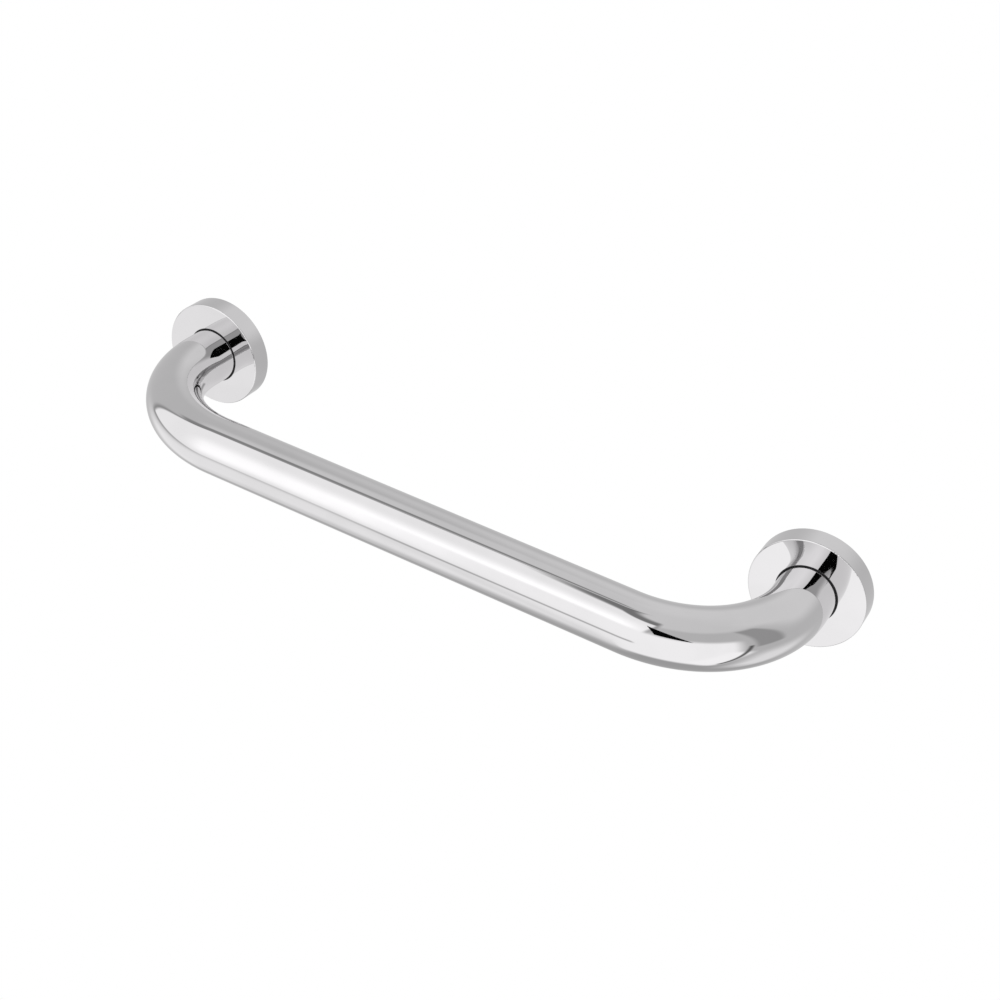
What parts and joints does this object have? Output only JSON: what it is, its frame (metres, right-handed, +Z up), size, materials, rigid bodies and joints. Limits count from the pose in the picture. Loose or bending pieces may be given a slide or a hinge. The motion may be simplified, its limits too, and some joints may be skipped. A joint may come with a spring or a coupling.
{
  "type": "grab rail",
  "caption": "Straight wall grab rail: a bent polished steel tube on two concealed screw flanges, each hidden by a round cover rose that slides forward and turns.",
  "frame": {"origin": "on the wall plane, midway between the centres of the two flanges", "axes": "+X along the rail, +Y into the wall (the rail stands off towards -Y), +Z up"},
  "size_m": [0.35, 0.0827, 0.05],
  "materials": {
    "polished_steel": "mirror polished stainless steel",
    "rose_steel": "mirror polished stainless steel sheet",
    "flange_steel": "plain rolled stainless plate",
    "weld_metal": "as-welded bead with a light heat tint",
    "black_rubber": "matt"
  },
  "bodies": {
    "rail": {"rail_tube": "polished_steel", "left_wall_flange": "flange_steel", "left_flange_weld": "weld_metal", "right_wall_flange": "flange_steel", "right_flange_weld": "weld_metal"},
    "left_ring": {"left_grip_ring": "black_rubber"},
    "left_rose": {"left_cover_rose": "rose_steel"},
    "right_ring": {"right_grip_ring": "black_rubber"},
    "right_rose": {"right_cover_rose": "rose_steel"}
  },
  "joints": [
    {"name": "left_rose_slide", "type": "slide", "parent": "rail", "child": "left_ring", "axis": [0, -1, 0], "range_m": [0, 0.009]},
    {"name": "left_rose_spin", "type": "hinge", "parent": "left_ring", "child": "left_rose", "pos_m": [-0.15, 0, 0], "axis": [0, -1, 0], "continuous": true},
    {"name": "right_rose_slide", "type": "slide", "parent": "rail", "child": "right_ring", "axis": [0, -1, 0], "range_m": [0, 0.009]},
    {"name": "right_rose_spin", "type": "hinge", "parent": "right_ring", "child": "right_rose", "pos_m": [0.15, 0, 0], "axis": [0, -1, 0], "continuous": true}
  ]
}
